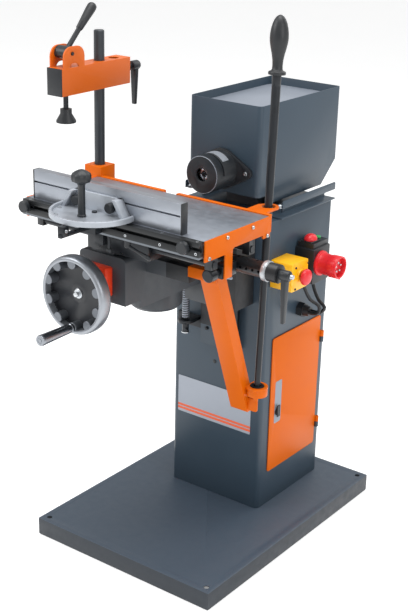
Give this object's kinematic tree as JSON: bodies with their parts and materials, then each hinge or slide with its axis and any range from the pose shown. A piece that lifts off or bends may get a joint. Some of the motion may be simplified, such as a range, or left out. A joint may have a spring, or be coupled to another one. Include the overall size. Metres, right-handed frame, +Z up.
{
  "type": "slot mortiser",
  "caption": "Floor-standing slot mortising machine with a lever-worked cross table, mitre fence, cam clamp and height handwheel on a sheet steel pedestal.",
  "frame": {"origin": "on the floor, under the middle of the base tray", "axes": "+X towards the operator's right (the electrics side), +Y away from the operator, +Z up"},
  "size_m": [0.6611, 0.9003, 1.3022],
  "materials": {
    "orange paint": "semi-gloss powder coat",
    "anthracite paint": "satin powder coat",
    "dark cast iron": "painted casting",
    "black steel": "black oxide or satin black paint",
    "motor housing": "black painted casting",
    "ground steel": "ground",
    "chrome": "bright plated",
    "aluminium": "natural, brushed",
    "table plate": "milled",
    "black plastic": "moulded, matt",
    "yellow plastic": "moulded",
    "red plastic": "moulded",
    "green plastic": "moulded",
    "black rubber": "soft grip and cable sheath"
  },
  "bodies": {
    "frame": {"base_tray": "anthracite paint", "pedestal": "anthracite paint", "slideway": "ground steel", "lift_screw": "ground steel", "screw_bracket": "black steel", "motor_plate": "anthracite paint", "motor_hood": "anthracite paint", "hood_lid": "aluminium", "motor": "motor housing", "chuck_guard": "black steel", "stop_box": "yellow plastic", "switch_box": "black plastic", "power_inlet": "red plastic", "cable_gland": "black plastic", "stop_cable": "black rubber", "switch_cable": "black rubber"},
    "door_leaf": {"door": "orange paint"},
    "latch": {"door_latch": "black plastic"},
    "spindle_body": {"spindle": "ground steel"},
    "stop_push_body": {"stop_button": "red plastic"},
    "flap_body": {"stop_flap": "red plastic"},
    "start_push_body": {"start_button": "green plastic"},
    "lift": {"lift_saddle": "dark cast iron", "lever_brace": "orange paint", "height_counter": "red plastic"},
    "nut": {"lift_nut": "ground steel"},
    "wheel": {"handwheel": "chrome", "handwheel_shaft": "ground steel"},
    "crank": {"crank_grip": "chrome"},
    "carriage": {"cross_slide": "dark cast iron"},
    "pitch_bar": {"index_bar": "ground steel"},
    "pitch_bar_handle": {"index_handle": "black plastic"},
    "lever_yoke": {"fulcrum_bush": "black steel"},
    "lever_body": {"lever": "black steel", "lever_grip": "black rubber"},
    "table": {"table_top": "table plate", "front_rail": "black steel", "end_plate_right": "orange paint", "plunger_holder": "black steel", "end_plate_left": "orange paint", "rear_strip": "orange paint", "guide_shaft_front": "ground steel", "guide_shaft_rear": "ground steel"},
    "plunger": {"index_plunger": "black steel"},
    "left_stop": {"stop_nut_left": "ground steel"},
    "left_stop_knob": {"stop_knob_left": "black plastic"},
    "right_stop": {"stop_nut_right": "ground steel"},
    "right_stop_knob": {"stop_knob_right": "black plastic"},
    "gauge_carrier": {"gauge_slide": "black steel"},
    "gauge_lock_body": {"gauge_lock": "black plastic"},
    "gauge_disc": {"gauge_head": "aluminium"},
    "fence_body": {"fence": "aluminium"},
    "left_fence_knob": {"fence_knob_left": "black plastic"},
    "right_fence_knob": {"fence_knob_right": "black plastic"},
    "column": {"clamp_column": "black steel"},
    "arm": {"clamp_arm": "orange paint"},
    "cam": {"cam_lever": "black plastic"},
    "clamp_plunger": {"clamp_rod": "ground steel"},
    "pad": {"clamp_foot": "black rubber"},
    "column_lock": {"clamp_handle": "black plastic"}
  },
  "joints": [
    {"name": "door_open", "type": "hinge", "parent": "frame", "child": "door_leaf", "pos_m": [0.1428, 0.2798, 0.139], "axis": [0, 0, 1], "range_deg": [0, 110]},
    {"name": "door_latch_turn", "type": "hinge", "parent": "door_leaf", "child": "latch", "pos_m": [0.1373, 0.085, 0.299], "axis": [1, 0, 0], "range_deg": [0, 90]},
    {"name": "spindle_spin", "type": "hinge", "parent": "frame", "child": "spindle_body", "pos_m": [0, 0, 0.917], "axis": [0, 1, 0], "continuous": true},
    {"name": "stop_push", "type": "slide", "parent": "frame", "child": "stop_push_body", "axis": [-1, 0, 0], "range_m": [0, 0.005], "stiffness_N_per_m": 400},
    {"name": "stop_flap_open", "type": "hinge", "parent": "frame", "child": "flap_body", "pos_m": [0.1638, 0.182, 0.7393], "axis": [-1, 0, 0], "range_deg": [0, 70]},
    {"name": "start_push", "type": "slide", "parent": "frame", "child": "start_push_body", "axis": [0, 0, -1], "range_m": [0, 0.003], "stiffness_N_per_m": 300},
    {"name": "lift_height", "type": "slide", "parent": "frame", "child": "lift", "axis": [0, 0, 1], "range_m": [-0.065, 0.03]},
    {"name": "lift_nut_turn", "type": "hinge", "parent": "lift", "child": "nut", "pos_m": [-0.07, -0.024, 0.752], "axis": [0, 0, 1], "continuous": true},
    {"name": "handwheel_turn", "type": "hinge", "parent": "lift", "child": "wheel", "pos_m": [-0.07, -0.437, 0.706], "axis": [0, 1, 0], "continuous": true},
    {"name": "crank_grip_spin", "type": "hinge", "parent": "wheel", "child": "crank", "pos_m": [-0.07, -0.4373, 0.633], "axis": [0, 1, 0], "continuous": true},
    {"name": "table_depth", "type": "slide", "parent": "lift", "child": "carriage", "axis": [0, 1, 0], "range_m": [-0.09, 0.04]},
    {"name": "table_length", "type": "slide", "parent": "carriage", "child": "table", "axis": [1, 0, 0], "range_m": [-0.096, 0.064]},
    {"name": "lever_tilt_depth", "type": "hinge", "parent": "lift", "child": "lever_yoke", "pos_m": [0.216, -0.12204, 0.463], "axis": [1, 0, 0], "range_deg": [-6, 13]},
    {"name": "lever_tilt_length", "type": "hinge", "parent": "lever_yoke", "child": "lever_body", "pos_m": [0.216, -0.12204, 0.463], "axis": [0, 1, 0], "range_deg": [-13.5, 9]},
    {"name": "pitch_bar_turn", "type": "hinge", "parent": "carriage", "child": "pitch_bar", "pos_m": [0.0443, -0.242, 0.8], "axis": [1, 0, 0], "range_deg": [-180, 180]},
    {"name": "pitch_bar_handle_turn", "type": "hinge", "parent": "pitch_bar", "child": "pitch_bar_handle", "pos_m": [0.3403, -0.242, 0.8], "axis": [1, 0, 0], "range_deg": [0, 90]},
    {"name": "plunger_pull", "type": "slide", "parent": "table", "child": "plunger", "axis": [0, -1, 0], "range_m": [-0.007, 0.003], "stiffness_N_per_m": 400},
    {"name": "left_stop_travel", "type": "slide", "parent": "table", "child": "left_stop", "axis": [1, 0, 0], "range_m": [0, 0.06]},
    {"name": "left_stop_lock", "type": "hinge", "parent": "left_stop", "child": "left_stop_knob", "pos_m": [-0.232, -0.4, 0.8716], "axis": [0, 1, 0], "range_deg": [0, 360]},
    {"name": "right_stop_travel", "type": "slide", "parent": "table", "child": "right_stop", "axis": [1, 0, 0], "range_m": [-0.1, 0]},
    {"name": "right_stop_lock", "type": "hinge", "parent": "right_stop", "child": "right_stop_knob", "pos_m": [0.212, -0.4, 0.8716], "axis": [0, 1, 0], "range_deg": [0, 360]},
    {"name": "gauge_travel", "type": "slide", "parent": "table", "child": "gauge_carrier", "axis": [1, 0, 0], "range_m": [-0.1, 0.1]},
    {"name": "gauge_lock_turn", "type": "hinge", "parent": "gauge_carrier", "child": "gauge_lock_body", "pos_m": [-0.033, -0.4403, 0.89], "axis": [0, 0, 1], "range_deg": [0, 180]},
    {"name": "gauge_swivel", "type": "hinge", "parent": "gauge_carrier", "child": "gauge_disc", "pos_m": [-0.033, -0.4003, 0.89], "axis": [0, 0, 1], "range_deg": [-45, 45]},
    {"name": "fence_travel", "type": "slide", "parent": "gauge_disc", "child": "fence_body", "axis": [1, 0, 0], "range_m": [-0.04, 0.04]},
    {"name": "left_fence_lock", "type": "hinge", "parent": "gauge_disc", "child": "left_fence_knob", "pos_m": [-0.088, -0.4, 0.9123], "axis": [0, 1, 0], "range_deg": [0, 360]},
    {"name": "right_fence_lock", "type": "hinge", "parent": "gauge_disc", "child": "right_fence_knob", "pos_m": [0.007, -0.4, 0.9123], "axis": [0, 1, 0], "range_deg": [0, 360]},
    {"name": "clamp_swing", "type": "hinge", "parent": "table", "child": "column", "pos_m": [-0.262, -0.123, 0.85], "axis": [0, 0, 1], "range_deg": [0, 90]},
    {"name": "clamp_height", "type": "slide", "parent": "column", "child": "arm", "axis": [0, 0, 1], "range_m": [-0.07, 0.06]},
    {"name": "cam_turn", "type": "hinge", "parent": "arm", "child": "cam", "pos_m": [-0.262, -0.238, 1.187], "axis": [1, 0, 0], "range_deg": [0, 75]},
    {"name": "clamp_press", "type": "slide", "parent": "arm", "child": "clamp_plunger", "axis": [0, 0, -1], "range_m": [0, 0.0042]},
    {"name": "pad_turn", "type": "hinge", "parent": "clamp_plunger", "child": "pad", "pos_m": [-0.262, -0.238, 1.029], "axis": [0, 0, 1], "continuous": true},
    {"name": "column_lock_turn", "type": "hinge", "parent": "arm", "child": "column_lock", "pos_m": [-0.262, -0.0367, 1.1281], "axis": [0, 1, 0], "range_deg": [-60, 60]}
  ],
  "couplings": [
    {"joint": "lift_nut_turn", "follows": "lift_height", "rad_per_m": 1570.8},
    {"joint": "handwheel_turn", "follows": "lift_height", "rad_per_m": 2468.4},
    {"joint": "lever_tilt_depth", "follows": "table_depth", "rad_per_m": -2.3641},
    {"joint": "lever_tilt_length", "follows": "table_length", "rad_per_m": 2.3641},
    {"joint": "clamp_press", "follows": "cam_turn", "m_per_rad": 0.003056}
  ]
}
